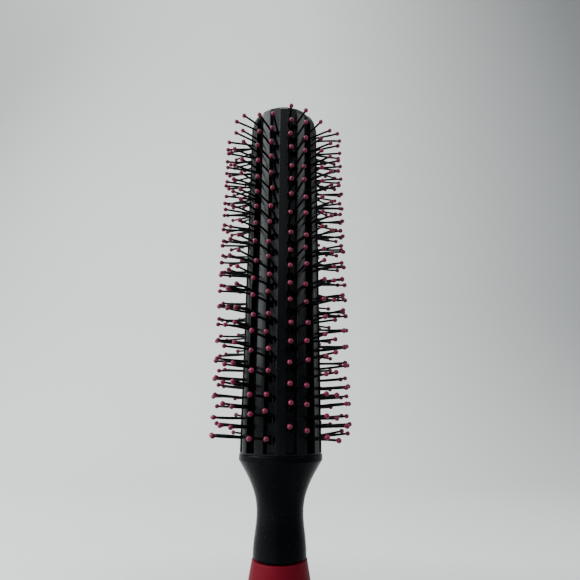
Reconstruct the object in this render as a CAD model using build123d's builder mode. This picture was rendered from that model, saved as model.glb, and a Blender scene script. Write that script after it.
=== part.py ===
from build123d import *
import os
from math import asin, atan2, cos, degrees, radians, sin, sqrt, tan

# Round styling brush. The brush axis is +Z, the butt of the grip stands on Z = 0,
# and one barrel rib faces -Y. All sizes are in millimetres and all angles in degrees.

# ---- driving sizes ----------------------------------------------------------------------
barrel_radius = 12.5        # over the ribs
barrel_length = 120.0       # shoulder on the collar to the end face
row_count = 12              # grooves, each with one row of pins; an even number
groove_depth = 2.0
groove_draft = 10.0         # lean of the groove walls from square
groove_foot = 0.4           # plain ring left under the lower groove ends
rib_edge_round = 0.25
end_round = 3.8             # the ribs turn over into the end face
rib_end_round = 1.2         # corners of the rib ends, seen from outside

pin_pitch = 5.77            # along a row
row_stagger = 3.2           # every other row starts this much higher
pin_diameter = 0.72
pin_reach = 8.75            # barrel radius to ball centre
pin_spread = 12.6           # angle between the two balls of one pin, seen from the axis
first_pin_height = 4.2      # shoulder to the lowest pins
last_pin_margin = 8.2       # least distance from the top pins to the end face
tuft_depth = 3.5            # hole depth under the groove floor
tuft_wall = 1.4             # barrel wall left under the holes
ball_diameter = 1.5

anchor_thickness = 0.28
anchor_height = 1.5
anchor_seat = 0.25          # hole floor to the underside of the folded pin

collar_lip = 0.25           # collar stands proud of the ribs
collar_height = 1.8
collar_edge_round = 0.5
flare_slope = 33.0          # of the neck just under the collar, from the brush axis
neck_radius = 6.9
neck_depth = 16.5           # shoulder to the narrowest place
neck_length = 28.0          # shoulder to the grip seam
seam_radius = 7.75
seam_round = 0.2
reveal_height = 0.5         # narrow groove between the neck and the grip, a dark line round the seam
reveal_depth = 0.9

tang_length = 70.0          # inside the barrel
tang_tip_chamfer = 0.8
spigot_wall = 1.6           # ring under the barrel that centres it in the collar
spigot_length = 2.0
tail_radius = 5.2           # inside the grip
tail_clear_of_plug = 4.0
flat_depth = 1.0            # of each of the two flats on a keyed section

grip_length = 95.0
grip_lip_radius = 7.95
grip_lip_round = 0.35
grip_flare_radius = 8.8
grip_flare_drop = 5.2       # seam to the place of that radius
grip_swell_radius = 11.5
grip_swell_height = 52.0
grip_butt_radius = 10.2
grip_butt_height = 13.0
butt_taper = 0.9            # the grip narrows this much from there to its foot
butt_round = 1.8

cap_radius = 7.6
cap_rim = 1.4
cap_dome = 0.8
cap_stem_length = 9.0
plug_radius = 7.0
plug_rim = 2.5
plug_stem_length = 8.0

slide_gap = 0.05            # each side, between pieces that slide together
seat_gap = 0.01             # each side, between a ball and the pin end in it

# ---- worked out from the driving sizes --------------------------------------------------
shoulder_z = grip_length + neck_length
barrel_top_z = shoulder_z + barrel_length
row_step = 360.0 / row_count
groove_floor_radius = barrel_radius - groove_depth
hole_floor_radius = groove_floor_radius - tuft_depth
bore_radius = hole_floor_radius - tuft_wall
tang_radius = bore_radius - slide_gap
collar_radius = barrel_radius + collar_lip
spigot_radius = bore_radius + spigot_wall
pin_radius = pin_diameter / 2
ball_radius = ball_diameter / 2
tip_radius = barrel_radius + pin_reach

# A pin is one filament folded in half round its anchor, its legs leaning apart.
fold_radius = pin_radius + anchor_thickness / 2 + slide_gap
fold_centre = hole_floor_radius + anchor_seat + pin_radius + fold_radius
tip_along = tip_radius * cos(radians(pin_spread / 2))
tip_across = tip_radius * sin(radians(pin_spread / 2))
fold_to_tip = sqrt((tip_along - fold_centre) ** 2 + tip_across**2)
leg_lean = degrees(atan2(tip_across, tip_along - fold_centre) - asin(fold_radius / fold_to_tip))
leg_start_along = fold_centre - fold_radius * sin(radians(leg_lean))
leg_start_across = fold_radius * cos(radians(leg_lean))

# The hole is just wide enough for both legs where they leave the groove floor.
leg_across_at_floor = leg_start_across + (groove_floor_radius - leg_start_along) * tan(radians(leg_lean))
hole_radius = leg_across_at_floor + pin_radius / cos(radians(leg_lean)) + slide_gap
groove_floor_width = 2 * (hole_radius + slide_gap)
rib_corner_across = groove_floor_width / 2 + groove_depth * tan(radians(groove_draft))
anchor_length = 2 * (sqrt(hole_radius**2 - (anchor_thickness / 2) ** 2) - seat_gap)

pin_stretch = barrel_length - first_pin_height - row_stagger - last_pin_margin
pins_per_row = int(pin_stretch // pin_pitch) + 1


def row_angle(row):
    """Azimuth of a groove: half a step round from the ribs."""
    return (row + 0.5) * row_step


def pin_heights(row):
    """Heights of the pins of a row; every other row starts higher by the stagger."""
    lowest = shoulder_z + first_pin_height + (row % 2) * row_stagger
    return [lowest + number * pin_pitch for number in range(pins_per_row)]


def from_axis(corner):
    """Distance of a vertex from the brush axis."""
    return sqrt(corner.X**2 + corner.Y**2)


def groove_plane(row, radius, height):
    """Plane across a groove: its x runs round the barrel, its y up and its z outward."""
    turn = row_angle(row)
    return Plane(
        origin=Vector(radius, 0, height).rotate(Axis.Z, turn),
        x_dir=Vector(0, 1, 0).rotate(Axis.Z, turn),
        z_dir=Vector(1, 0, 0).rotate(Axis.Z, turn),
    )


def keyed_outline(radius):
    """Circle with two flats, so that what slides over it cannot turn."""
    with BuildSketch() as outline:
        Circle(radius)
        Rectangle(2 * radius, 2 * (radius - flat_depth), mode=Mode.INTERSECT)
    return outline.sketch


os.makedirs("parts", exist_ok=True)

# ---- barrel: ribbed tube, drilled for the pins ------------------------------------------
with BuildPart() as barrel:
    with BuildSketch(Plane.XY.offset(shoulder_z)) as ribbed_section:
        Circle(barrel_radius)
        groove_mouth_radius = barrel_radius + collar_lip
        rim_limit = barrel_radius - groove_depth / 2
        mouth_half_width = groove_floor_width / 2 + (groove_depth + collar_lip) * tan(radians(groove_draft))
        with PolarLocations(0, row_count, start_angle=row_angle(0)):
            Polygon(
                (groove_floor_radius, -groove_floor_width / 2),
                (groove_mouth_radius, -mouth_half_width),
                (groove_mouth_radius, mouth_half_width),
                (groove_floor_radius, groove_floor_width / 2),
                align=None,
                mode=Mode.SUBTRACT,
            )
        corners = ribbed_section.vertices()
        fillet(corners.filter_by(lambda corner: from_axis(corner) > rim_limit), radius=rib_edge_round)
    extrude(amount=barrel_length)
    with BuildSketch(Plane.XY.offset(shoulder_z)):
        Circle(barrel_radius)
    extrude(amount=groove_foot)
    with BuildSketch(Plane.XY.offset(shoulder_z)):
        Circle(spigot_radius)
    extrude(amount=-spigot_length)

    # The ribs turn over into the end face.
    with BuildSketch(Plane.XZ):
        with BuildLine():
            turn_start = (barrel_radius, barrel_top_z - end_round)
            turn_finish = (barrel_radius - end_round, barrel_top_z)
            TangentArc(turn_start, turn_finish, tangent=(0, 1))
            Polyline(
                turn_finish,
                (barrel_radius - end_round, barrel_top_z + end_round),
                (barrel_radius + end_round, barrel_top_z + end_round),
                (barrel_radius + end_round, barrel_top_z - end_round),
                turn_start,
            )
        make_face()
    revolve(axis=Axis.Z, mode=Mode.SUBTRACT)

    # The rib ends are rounded off from groove to groove.
    for row in range(row_count):
        with BuildSketch(groove_plane(row, groove_floor_radius, barrel_top_z)):
            with BuildLine():
                for side in (-1, 1):
                    corner = side * rib_corner_across
                    past_corner = side * (rib_corner_across + rib_end_round)
                    TangentArc((corner, -rib_end_round), (past_corner, 0), tangent=(0, 1))
                    Line((past_corner, 0), (past_corner, rib_end_round))
                Line((-rib_corner_across, -rib_end_round), (rib_corner_across, -rib_end_round))
                Line(
                    (-rib_corner_across - rib_end_round, rib_end_round),
                    (rib_corner_across + rib_end_round, rib_end_round),
                )
            make_face()
        extrude(amount=groove_depth + collar_lip, mode=Mode.SUBTRACT)

    # Bore for the tang, and the recess that the end cap lies in.
    with BuildSketch(Plane.XY.offset(shoulder_z - spigot_length)):
        add(keyed_outline(bore_radius))
    extrude(amount=spigot_length + barrel_length, mode=Mode.SUBTRACT)
    with Locations((0, 0, barrel_top_z)):
        Hole(cap_radius + slide_gap, depth=cap_rim)

    for row in range(row_count):
        with Locations(*[groove_plane(row, groove_floor_radius, height) for height in pin_heights(row)]):
            Hole(hole_radius, depth=tuft_depth)
barrel.part.label = "barrel"
export_step(barrel.part, "parts/barrel.step")

# ---- end cap: closes the barrel's bore --------------------------------------------------
with BuildPart() as end_cap:
    with BuildSketch(Plane.XZ):
        with BuildLine():
            stem_radius = bore_radius - flat_depth - slide_gap
            rim_top = (cap_radius, barrel_top_z)
            Polyline(
                (0, barrel_top_z + cap_dome),
                (0, barrel_top_z - cap_rim - cap_stem_length),
                (stem_radius, barrel_top_z - cap_rim - cap_stem_length),
                (stem_radius, barrel_top_z - cap_rim),
                (cap_radius, barrel_top_z - cap_rim),
                rim_top,
            )
            TangentArc((0, barrel_top_z + cap_dome), rim_top, tangent=(1, 0))
        make_face()
    revolve(axis=Axis.Z)
end_cap.part.label = "end_cap"
export_step(end_cap.part, "parts/end_cap.step")

# ---- handle core: collar, neck, the tang in the barrel and the tail in the grip ----------
tail_foot_z = plug_rim + plug_stem_length + tail_clear_of_plug
with BuildPart() as handle_core:
    with BuildSketch(Plane.XZ):
        with BuildLine():
            rim_start = (collar_radius - collar_edge_round, shoulder_z)
            rim_finish = (collar_radius, shoulder_z - collar_edge_round)
            collar_foot = (collar_radius, shoulder_z - collar_height)
            reveal_top_z = grip_length + reveal_height
            reveal_radius = seam_radius - reveal_depth
            seam_edge = (seam_radius, reveal_top_z + seam_round)
            seam_foot = (seam_radius - seam_round, reveal_top_z)
            TangentArc(rim_start, rim_finish, tangent=(1, 0))
            Line(rim_finish, collar_foot)
            Spline(
                collar_foot,
                (neck_radius, shoulder_z - neck_depth),
                seam_edge,
                tangents=[(-sin(radians(flare_slope)), -cos(radians(flare_slope))), (0, -1), (0, -1)],
            )
            TangentArc(seam_edge, seam_foot, tangent=(0, -1))
            Polyline(
                seam_foot,
                (reveal_radius, reveal_top_z),
                (reveal_radius, grip_length),
                (0, grip_length),
                (0, shoulder_z),
                rim_start,
            )
        make_face()
    revolve(axis=Axis.Z)
    with BuildSketch(Plane.XY.offset(shoulder_z)):
        Circle(spigot_radius + slide_gap)
    extrude(amount=-spigot_length - slide_gap, mode=Mode.SUBTRACT)
    with BuildSketch(Plane.XY.offset(shoulder_z - spigot_length - slide_gap)):
        add(keyed_outline(tang_radius))
    extrude(amount=spigot_length + slide_gap + tang_length)
    chamfer(handle_core.faces().sort_by(Axis.Z)[-1].edges(), length=tang_tip_chamfer)
    with BuildSketch(Plane.XY.offset(grip_length)):
        add(keyed_outline(tail_radius))
    extrude(amount=tail_foot_z - grip_length)
handle_core.part.label = "handle_core"
export_step(handle_core.part, "parts/handle_core.step")

# ---- grip: soft sleeve moulded on the tail ----------------------------------------------
with BuildPart() as grip:
    with BuildSketch(Plane.XZ):
        with BuildLine():
            lip = (grip_lip_radius - grip_lip_round, grip_length)
            lip_foot = (grip_lip_radius, grip_length - grip_lip_round)
            butt_top = (grip_butt_radius, grip_butt_height)
            foot_radius = grip_butt_radius - butt_taper
            butt_side = (foot_radius, butt_round)
            butt_face = (foot_radius - butt_round, 0)
            TangentArc(lip, lip_foot, tangent=(1, 0))
            Spline(
                lip_foot,
                (grip_flare_radius, grip_length - grip_flare_drop),
                (grip_swell_radius, grip_swell_height),
                butt_top,
                butt_side,
            )
            TangentArc(butt_face, butt_side, tangent=(1, 0))
            Polyline(butt_face, (0, 0), (0, grip_length), lip)
        make_face()
    revolve(axis=Axis.Z)
    with BuildSketch(Plane.XY.offset(plug_rim)):
        add(keyed_outline(tail_radius))
    extrude(amount=grip_length - plug_rim, mode=Mode.SUBTRACT)
    with BuildSketch():
        Circle(plug_radius + slide_gap)
    extrude(amount=plug_rim, mode=Mode.SUBTRACT)
grip.part.label = "grip"
export_step(grip.part, "parts/grip.step")

# ---- butt plug: closes the grip and gives it a flat foot ---------------------------------
with BuildPart() as butt_plug:
    Cylinder(plug_radius, plug_rim, align=(Align.CENTER, Align.CENTER, Align.MIN))
    with BuildSketch(Plane.XY.offset(plug_rim)):
        Circle(tail_radius - flat_depth - slide_gap)
    extrude(amount=plug_stem_length)
butt_plug.part.label = "butt_plug"
export_step(butt_plug.part, "parts/butt_plug.step")

# ---- one pin, its two balls and its anchor, lying along +X at height 0 -------------------
with BuildPart() as pin:
    with BuildLine() as pin_path:
        right_tip = (tip_along, -tip_across)
        right_fold = (leg_start_along, -leg_start_across)
        left_fold = (leg_start_along, leg_start_across)
        left_tip = (tip_along, tip_across)
        Line(right_tip, right_fold)
        ThreePointArc(right_fold, (fold_centre - fold_radius, 0), left_fold)
        Line(left_fold, left_tip)
    with BuildSketch(Plane(origin=pin_path.line @ 0, z_dir=pin_path.line % 0)):
        Circle(pin_radius)
    sweep()

with BuildPart() as ball_pair:
    for side in (-1, 1):
        seat_plane = Plane(
            origin=(tip_along, side * tip_across, 0),
            x_dir=(0, 0, 1),
            z_dir=(-cos(radians(leg_lean)), -side * sin(radians(leg_lean)), 0),
        )
        with Locations(seat_plane):
            Sphere(ball_radius)
            Cylinder(
                pin_radius + seat_gap,
                ball_radius,
                align=(Align.CENTER, Align.CENTER, Align.MIN),
                mode=Mode.SUBTRACT,
            )

with BuildPart() as anchor:
    anchor_foot = fold_centre - fold_radius + pin_radius + slide_gap
    with Locations((anchor_foot, 0, 0)):
        Box(anchor_height, anchor_thickness, anchor_length, align=(Align.MIN, Align.CENTER, Align.CENTER))

# ---- rows: the same pins, balls and anchors in every groove -----------------------------
for row in range(row_count):
    pin_places = [Location((0, 0, height), (0, 0, row_angle(row))) for height in pin_heights(row)]
    for piece, row_name in ((pin, "pin_row"), (ball_pair, "ball_row"), (anchor, "anchor_row")):
        with BuildPart() as row_part:
            with Locations(*pin_places):
                add(piece.part)
        row_part.part.label = f"{row_name}_{row + 1:02d}"
        export_step(row_part.part, f"parts/{row_part.part.label}.step")
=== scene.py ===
import math
import random

import bmesh
import bpy
from mathutils import Euler, Matrix, Vector


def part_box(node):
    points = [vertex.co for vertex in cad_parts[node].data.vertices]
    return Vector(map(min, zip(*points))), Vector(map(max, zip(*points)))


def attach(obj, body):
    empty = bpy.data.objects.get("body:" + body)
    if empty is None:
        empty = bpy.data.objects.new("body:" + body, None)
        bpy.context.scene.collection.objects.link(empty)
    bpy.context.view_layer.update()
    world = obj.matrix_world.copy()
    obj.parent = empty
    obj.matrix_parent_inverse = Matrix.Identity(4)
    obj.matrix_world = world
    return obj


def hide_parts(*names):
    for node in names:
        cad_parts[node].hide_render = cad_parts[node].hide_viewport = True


# A round styling brush, standing on the butt of its grip, brush axis along +Z, in metres.
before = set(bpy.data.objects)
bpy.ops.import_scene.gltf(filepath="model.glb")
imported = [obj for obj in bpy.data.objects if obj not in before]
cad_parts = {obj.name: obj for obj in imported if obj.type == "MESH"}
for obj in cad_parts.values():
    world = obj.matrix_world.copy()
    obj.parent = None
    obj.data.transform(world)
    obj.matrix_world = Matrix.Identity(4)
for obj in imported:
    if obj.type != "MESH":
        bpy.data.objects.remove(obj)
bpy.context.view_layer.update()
MM = 0.001

# ---- sizes that the pins and their balls are built with ---------------------------------
PINS_PER_ROW = 19
PIN_RADIUS = 0.36 * MM
PIN_TIP_RADIUS = 0.33 * MM
PIN_SPREAD = math.radians(12.6)      # between the two balls of one folded pin
PIN_TURN = math.radians(-1.7)        # all pins lean a little the same way round
PIN_SIDES = 12
FOLD_RADIUS = 0.55 * MM              # half the gap between the legs at the fold
FOLD_STEPS = 7
LEG_STEPS = 9
BALL_RADIUS = 0.75 * MM
BALL_RINGS = 13
BALL_SIDES = 20
BALL_SIZES = (0.93, 1.03)            # smallest and largest, as shares of the radius
BEAD_NECK = 0.55 * MM                # lacquer that runs a little way down the pin
BEAD_NECK_TURN = math.pi / 4         # where the bead turns into its neck, from its inner pole
BEAD_NECK_CURVE = 1.5
BEAD_NECK_SKIN = 1.04                # width of the lacquered pin, as a share of the bare one

# ---- how the pins stray -----------------------------------------------------------------
LEAN_UP_DOWN = 0.38 * MM             # at the tip, as a standard deviation
LEAN_SIDEWAYS = 0.24 * MM
LEAN_LIMIT = 2.2                     # in standard deviations
LEAN_LOWEST = 0.8 * MM               # the rows' ends lean towards their middle: the lowest tips up,
LEAN_HIGHEST = -0.5 * MM             # the highest ones down
BOW_SHARE = 0.5                      # how much a leg bows, as a share of a stray tip's lean
SEED = 20

# ---- the camera and the room ------------------------------------------------------------
SENSOR = 36.0
LENS = 25.4
NEAREST = 0.01
CAMERA_DISTANCE = 10.78              # in barrel radii, from the brush axis
CAMERA_ABOVE_SHOULDER = 0.845        # in barrel radii
CAMERA_AROUND = math.radians(0.6)    # how far the camera stands to the right, round the brush
CAMERA_PITCH = math.radians(17.2)    # looking up
CAMERA_YAW = math.radians(1.1)       # turned to the right
CAMERA_ROLL = math.radians(0.3)
SPIGOT_LENGTH = 2.0 * MM             # the barrel reaches this far below the collar's shoulder
BARREL_MIDDLE = 60 * MM              # above the shoulder
DAYLIGHT = (0.93, 0.98, 1.0)
SKYLIGHT = (0.93, 0.97, 1.0)
ROOM_LIGHT = (0.97, 0.98, 1.0)
WORLD_BEHIND = ((-0.3, 0.8), (0.20, 0.75))   # from and to direction, then from and to strength
WORLD_ABOVE = ((0.1, 1.0), (0.0, 0.45))
WORLD_SEEN = 0.62                    # strength where the camera looks past the paper's edge

# ---- the backdrop paper -----------------------------------------------------------------
PAPER_FRONT = -1.6
PAPER_DEPTH = 1.3
PAPER_RISE = 2.6
PAPER_HALF_WIDTH = 3.0
PAPER_BEND = 0.55
PAPER_BEND_STEPS = 16
PAPER_TONES = ((0.58, 0.59, 0.58, 1), (0.61, 0.62, 0.61, 1))
# painted shade: the paper's darker tone and dimmer glow in front of the brush and far to its right
PAPER_PAINTED_SHADE_TONE = (0.30, 0.31, 0.31, 1)
PAPER_GLOW = (0.93, 0.97, 0.97, 1)
PAPER_PAINTED_SHADE_GLOW = (0.2, 0.2, 0.2, 1)
PAPER_GLOW_STRENGTH = 0.19
PAINTED_SHADE_AHEAD_Y = (0.05, 0.35)         # painted shade: the paper fades to a darker tone and glow in front of the brush,
PAINTED_SHADE_AHEAD_X = (-0.24, -0.04)       # but not to the left of it,
PAINTED_SHADE_ASIDE_X = (0.1, 1.3)           # and far to the right

# ---- shared by the node trees -----------------------------------------------------------
ALL = (0.0, 1.0)
NOISE_MIDDLE = (0.3, 0.7)            # the part of its range in which most of a noise lies
NOISE_PATCHES = (0.35, 0.65)
SPECK_EDGE = (0.10, 0.22)            # a speck's full and outer radius, in cells
MAP_SOCKETS = ("From Min", "From Max", "To Min", "To Max")
MIX_NUMBERS = (2, 3, 0)              # the Mix node's sockets for numbers: first, second, result
MIX_COLOURS = (6, 7, 2)              # and for colours
BEVEL_SAMPLES = 4


# ---- node helpers -----------------------------------------------------------------------
class Tree:
    """A node tree, with short calls for the nodes that the finishes and the room share."""

    def __init__(self, owner):
        owner.use_nodes = True
        self.nodes = owner.node_tree.nodes
        self.links = owner.node_tree.links

    def node(self, kind, **settings):
        made = self.nodes.new(kind)
        for setting, value in settings.items():
            setattr(made, setting, value)
        return made

    def feed(self, socket, value):
        """Links value if it is a socket, and sets it if it is a number or colour."""
        if isinstance(value, bpy.types.NodeSocket):
            self.links.new(value, socket)
        else:
            socket.default_value = value

    def split(self, vector):
        """The X, Y and Z outputs of a vector."""
        parts = self.node("ShaderNodeSeparateXYZ")
        self.feed(parts.inputs[0], vector)
        return parts.outputs

    def remap(self, value, source, target):
        """value, moved from the range source to the range target and held inside it."""
        mapper = self.node("ShaderNodeMapRange")
        for socket, number in zip(MAP_SOCKETS, source + target):
            mapper.inputs[socket].default_value = number
        self.feed(mapper.inputs["Value"], value)
        return mapper.outputs["Result"]

    def math(self, operation, first, second):
        step = self.node("ShaderNodeMath", operation=operation)
        self.feed(step.inputs[0], first)
        self.feed(step.inputs[1], second)
        return step.outputs[0]

    def blend(self, amount, low, high, kind, sockets):
        first, second, result = sockets
        mixer = self.node("ShaderNodeMix", data_type=kind)
        self.feed(mixer.inputs[0], amount)
        self.feed(mixer.inputs[first], low)
        self.feed(mixer.inputs[second], high)
        return mixer.outputs[result]

    def mix(self, amount, low, high):
        """A colour between low and high."""
        return self.blend(amount, low, high, "RGBA", MIX_COLOURS)

    def between(self, amount, low, high):
        """A number between low and high."""
        return self.blend(amount, low, high, "FLOAT", MIX_NUMBERS)


class Shader(Tree):
    """A material's node tree. Its patterns lie in object coordinates, in metres."""

    def __init__(self, name):
        self.material = bpy.data.materials.new(name)
        super().__init__(self.material)
        self.surface = self.nodes["Principled BSDF"]
        self.place = self.node("ShaderNodeTexCoord").outputs["Object"]

    def set(self, **inputs):
        for name, value in inputs.items():
            self.feed(self.surface.inputs[name.replace("_", " ")], value)

    def drawn_out(self, along):
        """Object coordinates for a pattern that is 1 / along times as long in Z."""
        mapping = self.node("ShaderNodeMapping")
        self.feed(mapping.inputs["Vector"], self.place)
        mapping.inputs["Scale"].default_value = (1, 1, along)
        return mapping.outputs["Vector"]

    def noise(self, scale, detail, roughness=0.55, along=1.0):
        texture = self.node("ShaderNodeTexNoise")
        self.feed(texture.inputs["Vector"], self.drawn_out(along))
        texture.inputs["Scale"].default_value = scale
        texture.inputs["Detail"].default_value = detail
        texture.inputs["Roughness"].default_value = roughness
        return texture.outputs["Fac"]

    def cells(self, scale, along, output):
        texture = self.node("ShaderNodeTexVoronoi")
        self.feed(texture.inputs["Vector"], self.drawn_out(along))
        texture.inputs["Scale"].default_value = scale
        return texture.outputs[output]

    def specks(self, scale, share, along=1.0):
        """1 on a thin scatter of small specks and 0 elsewhere; share of the cells hold one."""
        size = self.remap(self.cells(scale, along, "Distance"), SPECK_EDGE, (1.0, 0.0))
        pick = self.node("ShaderNodeSeparateColor")
        self.feed(pick.inputs[0], self.cells(scale, along, "Color"))
        chosen = self.math("LESS_THAN", pick.outputs[0], share)
        return self.math("MULTIPLY", size, chosen)

    def bump(self, height, distance, strength, normal=None):
        bump = self.node("ShaderNodeBump")
        self.feed(bump.inputs["Height"], height)
        bump.inputs["Distance"].default_value = distance
        bump.inputs["Strength"].default_value = strength
        if normal is not None:
            self.feed(bump.inputs["Normal"], normal)
        return bump.outputs["Normal"]

    def rounded(self, radius):
        """Normals that round off sharp edges by radius."""
        bevel = self.node("ShaderNodeBevel", samples=BEVEL_SAMPLES)
        bevel.inputs["Radius"].default_value = radius
        return bevel.outputs["Normal"]


# ---- finishes ---------------------------------------------------------------------------
def moulded_black(name, tint, roughness, gloss, dust, bloom):
    """Black moulded plastic: flow lines, fine scratches along Z, a grey bloom and a little dust."""
    flow_contrast = 1.35
    dust_grey = (0.10, 0.11, 0.11, 1)
    speck_paleness = 0.2
    lint_paleness = 0.7
    scratch_roughness = 0.10
    dust_roughness = 0.3
    paler_tint = tuple(flow_contrast * channel for channel in tint[:3]) + (1,)

    shader = Shader(name)
    flow = shader.noise(scale=90, detail=3, along=0.25)
    haze = shader.noise(scale=420, detail=5)
    scratches = shader.noise(scale=2600, detail=2, along=0.03)
    clouds = shader.noise(scale=75, detail=5, roughness=0.7)
    specks = shader.specks(scale=1500, share=dust)
    lint = shader.specks(scale=900, share=dust / 2, along=0.35)

    base = shader.mix(shader.remap(flow, NOISE_PATCHES, ALL), tint, paler_tint)
    base = shader.mix(shader.remap(clouds, (0.5, 0.75), (0.0, bloom)), base, dust_grey)
    pale_specks = shader.math("MULTIPLY", specks, speck_paleness)
    pale_lint = shader.math("MULTIPLY", lint, lint_paleness)
    base = shader.mix(shader.math("ADD", pale_specks, pale_lint), base, dust_grey)
    shader.set(Base_Color=base, Specular_IOR_Level=gloss)

    grain = shader.remap(haze, NOISE_MIDDLE, (roughness - 0.05, roughness + 0.07))
    rubbed = shader.remap(scratches, (0.58, 0.72), ALL)
    worn = shader.math("ADD", grain, shader.math("MULTIPLY", rubbed, scratch_roughness))
    dusty = shader.math("MAXIMUM", specks, lint)
    shader.set(Roughness=shader.math("ADD", worn, shader.math("MULTIPLY", dusty, dust_roughness)))

    relief = shader.bump(flow, distance=0.04 * MM, strength=0.6, normal=shader.rounded(0.18 * MM))
    relief = shader.bump(scratches, distance=0.01 * MM, strength=0.7, normal=relief)
    shader.set(Normal=shader.bump(dusty, distance=0.03 * MM, strength=0.6, normal=relief))
    return shader.material


def nylon(name):
    """Drawn black nylon, a little different from filament to filament."""
    shader = Shader(name)
    pin = shader.node("ShaderNodeNewGeometry").outputs["Random Per Island"]
    drawn = shader.noise(scale=1500, detail=2)
    base = shader.mix(pin, (0.0008, 0.0008, 0.001, 1), (0.002, 0.002, 0.0025, 1))
    base = shader.mix(shader.remap(drawn, (0.55, 0.8), (0.0, 0.5)), base, (0.004, 0.004, 0.005, 1))
    shader.set(Base_Color=base, Specular_IOR_Level=0.05)
    shader.set(Roughness=shader.remap(drawn, NOISE_MIDDLE, (0.34, 0.50)))
    shader.set(Normal=shader.bump(drawn, distance=0.01 * MM, strength=0.5))
    return shader.material


def bead_lacquer(name):
    """Crimson dipped lacquer, slightly uneven from bead to bead, with a glossy skin."""
    shader = Shader(name)
    bead_number = shader.node("ShaderNodeNewGeometry").outputs["Random Per Island"]
    cloud = shader.noise(scale=1400, detail=3)
    base = shader.mix(bead_number, (0.10, 0.0028, 0.0185, 1), (0.155, 0.0055, 0.032, 1))
    base = shader.mix(shader.remap(cloud, (0.45, 0.8), (0.0, 0.6)), base, (0.06, 0.0012, 0.009, 1))
    shader.set(Base_Color=base, Specular_IOR_Level=0.26)
    shader.set(Roughness=shader.remap(cloud, NOISE_MIDDLE, (0.14, 0.24)))
    shader.set(Normal=shader.bump(cloud, distance=0.03 * MM, strength=0.4))
    return shader.material


def soft_grip(name):
    """Deep red soft-touch sleeve: fine matte grain, faint handling shine and a little lint."""
    shader = Shader(name)
    grain = shader.noise(scale=5200, detail=2)
    mottle = shader.noise(scale=60, detail=4)
    handled = shader.noise(scale=24, detail=3, along=0.4)
    lint = shader.specks(scale=2400, share=0.012, along=0.5)
    patches = shader.remap(mottle, NOISE_PATCHES, ALL)
    base = shader.mix(patches, (0.078, 0.0023, 0.0068, 1), (0.096, 0.0031, 0.0090, 1))
    pale_lint = shader.remap(lint, ALL, (0.0, 0.35))
    base = shader.mix(pale_lint, base, (0.30, 0.20, 0.20, 1))
    shader.set(Base_Color=base, Specular_IOR_Level=0.045)
    shader.set(Roughness=shader.remap(handled, NOISE_MIDDLE, (0.36, 0.52)))
    relief = shader.bump(mottle, distance=0.06 * MM, strength=0.4, normal=shader.rounded(0.2 * MM))
    shader.set(Normal=shader.bump(grain, distance=0.012 * MM, strength=0.6, normal=relief))
    return shader.material


def stamped_steel(name):
    """Steel strip with rolling marks, in a tone kept nearly black."""
    shader = Shader(name)
    rolled = shader.noise(scale=3000, detail=2, along=0.1)
    film = shader.noise(scale=900, detail=4)
    shader.set(Base_Color=shader.mix(film, (0.020, 0.019, 0.018, 1), (0.045, 0.043, 0.040, 1)), Metallic=1.0)
    shader.set(Roughness=shader.remap(rolled, NOISE_MIDDLE, (0.4, 0.6)))
    shader.set(Normal=shader.bump(rolled, distance=0.01 * MM, strength=0.5))
    return shader.material


def studio_paper(name):
    """Pale backdrop paper that glows a little, so it stays even, with painted shade in its tone and glow
    where it fades.
    """
    shader = Shader(name)
    fibre = shader.noise(scale=900, detail=3)
    place = shader.split(shader.place)
    # painted shade: a shadow painted into the paper's tone and glow in front of the brush, but not to its
    # left, and far to its right
    painted_shade_ahead = shader.remap(place["Y"], PAINTED_SHADE_AHEAD_Y, (1.0, 0.0))
    painted_shade_ahead = shader.math("MULTIPLY", painted_shade_ahead, shader.remap(place["X"], PAINTED_SHADE_AHEAD_X, ALL))
    painted_shade = shader.math("MAXIMUM", painted_shade_ahead, shader.remap(place["X"], PAINTED_SHADE_ASIDE_X, ALL))
    tone = shader.mix(shader.remap(fibre, NOISE_MIDDLE, ALL), *PAPER_TONES)
    shader.set(Base_Color=shader.mix(painted_shade, tone, PAPER_PAINTED_SHADE_TONE), Roughness=0.85)
    shader.set(Emission_Color=shader.mix(painted_shade, PAPER_GLOW, PAPER_PAINTED_SHADE_GLOW))
    shader.set(Emission_Strength=PAPER_GLOW_STRENGTH)
    shader.set(Normal=shader.bump(fibre, distance=0.1 * MM, strength=0.2))
    return shader.material


def finish(thing, material):
    """Gives every slot of an object the material."""
    if not thing.material_slots:
        thing.data.materials.append(material)
    for place in thing.material_slots:
        place.material = material


# ---- mesh helpers -----------------------------------------------------------------------
def circle(steps):
    """The angles of evenly spaced points on a circle."""
    return [2 * math.pi * number / steps for number in range(steps)]


def skin(mesh, rings):
    """Joins rings of equally many vertices into a closed skin."""
    for low, high in zip(rings, rings[1:]):
        for number in range(len(low)):
            after = (number + 1) % len(low)
            mesh.faces.new((low[number], low[after], high[after], high[number]))
    mesh.faces.new(reversed(rings[0]))
    mesh.faces.new(rings[-1])


def tube(mesh, path, radii, sides):
    """A tube along path, its ring at each point as wide as the radius there, closed at both ends."""
    rings = []
    for index, centre in enumerate(path):
        before = path[max(index - 1, 0)]
        after = path[min(index + 1, len(path) - 1)]
        along = (after - before).normalized()
        side = along.cross(Vector((0, 0, 1))).normalized()
        up = side.cross(along)
        spokes = [math.cos(turn) * side + math.sin(turn) * up for turn in circle(sides)]
        rings.append([mesh.verts.new(centre + radii[index] * spoke) for spoke in spokes])
    skin(mesh, rings)


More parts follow.
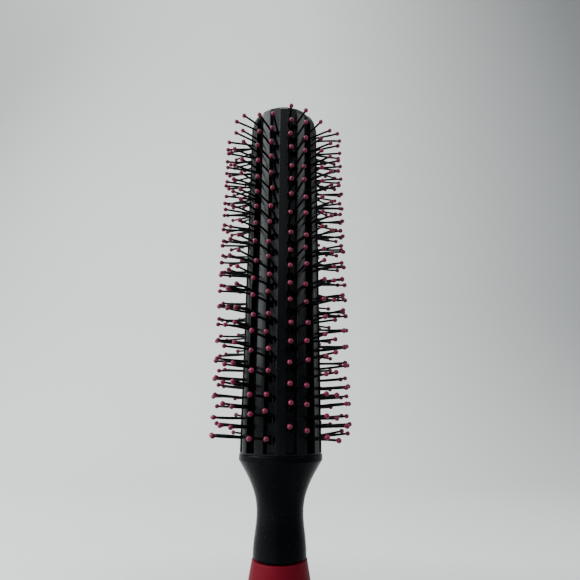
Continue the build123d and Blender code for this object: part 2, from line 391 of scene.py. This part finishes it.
def bead(mesh, centre, outward, size):
    """A dipped bead: a round drop that thins to the pin's own width on its inner side."""
    side = outward.cross(Vector((0, 0, 1))).normalized()
    up = side.cross(outward)
    spokes = [math.cos(turn) * side + math.sin(turn) * up for turn in circle(BALL_SIDES)]
    rings = []
    for ring_number in range(BALL_RINGS):
        polar = math.pi * (ring_number + 0.5) / BALL_RINGS
        along = -math.cos(polar) * size
        across = math.sin(polar) * size
        if polar < BEAD_NECK_TURN:
            neck = 1 - polar / BEAD_NECK_TURN
            along -= BEAD_NECK * neck**BEAD_NECK_CURVE
            across = max(across, PIN_TIP_RADIUS * BEAD_NECK_SKIN)
        rings.append([mesh.verts.new(centre + outward * along + spoke * across) for spoke in spokes])
    skin(mesh, rings)


def solid(name, mesh, material):
    """Turns a bmesh into a smooth object with the material."""
    data = bpy.data.meshes.new(name)
    bmesh.ops.recalc_face_normals(mesh, faces=mesh.faces)
    mesh.to_mesh(data)
    mesh.free()
    data.shade_smooth()
    made = bpy.data.objects.new(name, data)
    bpy.context.collection.objects.link(made)
    finish(made, material)
    return made


# ---- pins and beads ---------------------------------------------------------------------
def distances(node):
    """Distances of a CAD node's vertices from the brush axis."""
    return [math.hypot(vertex.co.x, vertex.co.y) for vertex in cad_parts[node].data.vertices]


def stray(chance, spread):
    """A random offset that never grows past the limit."""
    return spread * max(-LEAN_LIMIT, min(LEAN_LIMIT, chance.gauss(0, 1)))


def pin_path(fold_centre, tips):
    """Points along one folded pin: in along a leg, round the fold and out along the other."""
    quarter_turn = math.pi / 2
    path = []
    for step in range(LEG_STEPS):
        share = 1 - step / LEG_STEPS
        start = Vector((fold_centre, -FOLD_RADIUS, 0))
        path.append(start.lerp(tips[0], share))
    for step in range(FOLD_STEPS):
        turn = -quarter_turn - math.pi * step / (FOLD_STEPS - 1)
        path.append(Vector((fold_centre + FOLD_RADIUS * math.cos(turn), FOLD_RADIUS * math.sin(turn), 0)))
    for step in range(LEG_STEPS):
        share = (step + 1) / LEG_STEPS
        start = Vector((fold_centre, FOLD_RADIUS, 0))
        path.append(start.lerp(tips[1], share))
    return path


def leg_bend(path, tips, bends):
    """Bows each leg a little, most past its middle, with its ends left in place."""
    fold = path[len(path) // 2]
    bent = []
    for index, point in enumerate(path):
        side = 0 if index < len(path) / 2 else 1
        share = min(1.0, (point - fold).length / (tips[side] - fold).length)
        bow = math.sin(math.pi * share) * share
        bent.append(point + bends[side] * bow)
    return bent


def pin_row(row, row_count, nylon_finish, bead_finish):
    """One groove's folded pins and their beads, in place of the two CAD nodes."""
    chance = random.Random(SEED + row)
    label = f"{row + 1:02d}"
    pins_node = f"pin_row_{label}"
    balls_node = f"ball_row_{label}"
    low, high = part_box(pins_node)
    pitch = (high[2] - low[2] - 2 * PIN_RADIUS) / (PINS_PER_ROW - 1)
    tip_radius = max(distances(balls_node)) - BALL_RADIUS
    fold_centre = min(distances(pins_node)) + PIN_RADIUS + FOLD_RADIUS
    turn = Matrix.Rotation(2 * math.pi * (row + 0.5) / row_count, 4, "Z")
    pin_mesh = bmesh.new()
    bead_mesh = bmesh.new()
    for number in range(PINS_PER_ROW):
        height = low[2] + PIN_RADIUS + number * pitch
        share = number / (PINS_PER_ROW - 1)
        shared_lean = stray(chance, LEAN_UP_DOWN) + LEAN_LOWEST + share * (LEAN_HIGHEST - LEAN_LOWEST)
        tips = []
        bends = []
        for side in (-1, 1):
            angle = PIN_TURN + side * PIN_SPREAD / 2
            tip = Vector((tip_radius * math.cos(angle), tip_radius * math.sin(angle), 0))
            tip += Vector((0, stray(chance, LEAN_SIDEWAYS), shared_lean + stray(chance, LEAN_UP_DOWN)))
            tips.append(tip)
            bend = Vector((0, stray(chance, LEAN_SIDEWAYS), stray(chance, LEAN_UP_DOWN)))
            bends.append(bend * BOW_SHARE)
        path = leg_bend(pin_path(fold_centre, tips), tips, bends)
        radii = [PIN_RADIUS] * len(path)
        radii[0] = radii[-1] = PIN_TIP_RADIUS
        place = Matrix.Translation((0, 0, height)) @ turn
        placed = [place @ point for point in path]
        tube(pin_mesh, placed, radii, PIN_SIDES)
        for tip, inner in ((placed[0], placed[1]), (placed[-1], placed[-2])):
            size = BALL_RADIUS * chance.uniform(*BALL_SIZES)
            bead(bead_mesh, tip, (tip - inner).normalized(), size)
    pins = solid(f"pins_{label}", pin_mesh, nylon_finish)
    beads = solid(f"beads_{label}", bead_mesh, bead_finish)
    for piece, node, slot in ((pins, pins_node, "pin_nylon"), (beads, balls_node, "ball_lacquer")):
        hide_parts(node)
        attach(piece, "root")


# ---- room -------------------------------------------------------------------------------
def sweep_backdrop():
    """A floor that curves up into a wall behind the brush."""
    bend_start = PAPER_DEPTH - PAPER_BEND
    outline = [(PAPER_FRONT, 0.0), (bend_start, 0.0)]
    for step in range(1, PAPER_BEND_STEPS + 1):
        turn = math.pi / 2 * step / PAPER_BEND_STEPS
        outline.append((bend_start + PAPER_BEND * math.sin(turn), PAPER_BEND - PAPER_BEND * math.cos(turn)))
    outline.append((PAPER_DEPTH, PAPER_RISE))
    mesh = bmesh.new()
    columns = []
    for x in (-PAPER_HALF_WIDTH, PAPER_HALF_WIDTH):
        columns.append([mesh.verts.new((x, y, z)) for y, z in outline])
    left, right = columns
    for index in range(len(outline) - 1):
        mesh.faces.new((left[index], right[index], right[index + 1], left[index + 1]))
    backdrop = solid("backdrop", mesh, studio_paper("studio_paper"))


def area_light(name, place, target, size, power, colour=(1, 1, 1)):
    """A soft rectangular light at place, facing target."""
    data = bpy.data.lights.new(name, "AREA")
    data.shape = "RECTANGLE"
    data.size, data.size_y = size
    data.energy = power
    data.color = colour
    lamp = bpy.data.objects.new(name, data)
    lamp.location = place
    lamp.rotation_euler = (Vector(target) - Vector(place)).to_track_quat("-Z", "Y").to_euler()
    bpy.context.collection.objects.link(lamp)


def room_glow():
    """World light: brightest behind the brush, dimmer towards the front and the floor."""
    world = bpy.data.worlds.new("room")
    tree = Tree(world)
    direction = tree.split(tree.node("ShaderNodeTexCoord").outputs["Generated"])
    behind = tree.remap(direction["Y"], *WORLD_BEHIND)
    above = tree.remap(direction["Z"], *WORLD_ABOVE)
    seen = tree.node("ShaderNodeLightPath").outputs["Is Camera Ray"]
    background = tree.nodes["Background"]
    background.inputs["Color"].default_value = SKYLIGHT + (1,)
    strength = tree.between(seen, tree.math("ADD", behind, above), WORLD_SEEN)
    tree.feed(background.inputs["Strength"], strength)
    bpy.context.scene.world = world


def room(shoulder):
    """A bright window at the left, weaker openings high up in front, and light on the paper."""
    barrel_middle = (0, 0, shoulder + BARREL_MIDDLE)
    area_light("window", place=(-1.20, -0.25, shoulder + 0.78), target=(0, 0, shoulder + 0.1),
               size=(1.1, 1.35), power=42, colour=DAYLIGHT)
    area_light("doorway", place=(-0.85, -1.10, shoulder + 0.85), target=barrel_middle,
               size=(0.8, 1.2), power=11, colour=DAYLIGHT)
    area_light("hallway", place=(1.25, -0.70, shoulder + 0.95), target=barrel_middle,
               size=(0.6, 1.0), power=9, colour=ROOM_LIGHT)
    area_light("overhead", place=(0.1, -1.3, shoulder + 0.98), target=barrel_middle,
               size=(1.5, 0.9), power=3.2, colour=SKYLIGHT)
    area_light("ceiling", place=(-0.5, 0.2, shoulder + 2.6), target=(-0.3, 1.1, 0.9),
               size=(1.6, 1.0), power=22)
    area_light("far_side", place=(1.3, 0.6, shoulder + 0.3), target=(0, 0, shoulder),
               size=(0.4, 1.2), power=2)


def camera(barrel_radius, shoulder):
    """The camera stands in front of the collar, close to the brush, and looks up along it."""
    data = bpy.data.cameras.new("camera")
    data.sensor_width = SENSOR
    data.lens = LENS
    data.clip_start = NEAREST
    eye = bpy.data.objects.new("camera", data)
    away = CAMERA_DISTANCE * barrel_radius
    height = shoulder + CAMERA_ABOVE_SHOULDER * barrel_radius
    eye.location = (away * math.sin(CAMERA_AROUND), -away * math.cos(CAMERA_AROUND), height)
    look = Euler((math.pi / 2 + CAMERA_PITCH, 0, CAMERA_AROUND - CAMERA_YAW)).to_matrix()
    eye.rotation_euler = (look @ Matrix.Rotation(CAMERA_ROLL, 3, "Z")).to_euler()
    bpy.context.collection.objects.link(eye)
    bpy.context.scene.camera = eye


# ---- the brush --------------------------------------------------------------------------
barrel_tint = (0.0016, 0.0019, 0.0026, 1)
neck_tint = (0.0006, 0.0008, 0.0012, 1)
barrel_black = moulded_black("barrel_black", barrel_tint, roughness=0.21, gloss=0.13, dust=0.03, bloom=0.004)
neck_black = moulded_black("neck_black", neck_tint, roughness=0.27, gloss=0.05, dust=0.04, bloom=0.018)
node_finishes = {
    "barrel": barrel_black,
    "end_cap": barrel_black,
    "handle_core": neck_black,
    "butt_plug": neck_black,
    "grip": soft_grip("grip_red"),
}
for node, material in node_finishes.items():
    finish(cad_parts[node], material)

row_count = sum(name.startswith("pin_row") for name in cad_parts)
anchor_steel = stamped_steel("anchor_steel")
pin_nylon = nylon("pin_nylon_black")
ball_lacquer = bead_lacquer("ball_crimson")
for row in range(row_count):
    finish(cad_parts[f"anchor_row_{row + 1:02d}"], anchor_steel)
    pin_row(row, row_count, pin_nylon, ball_lacquer)

barrel_low, barrel_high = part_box("barrel")
shoulder = barrel_low[2] + SPIGOT_LENGTH
sweep_backdrop()
room_glow()
room(shoulder)
camera(barrel_high[0], shoulder)
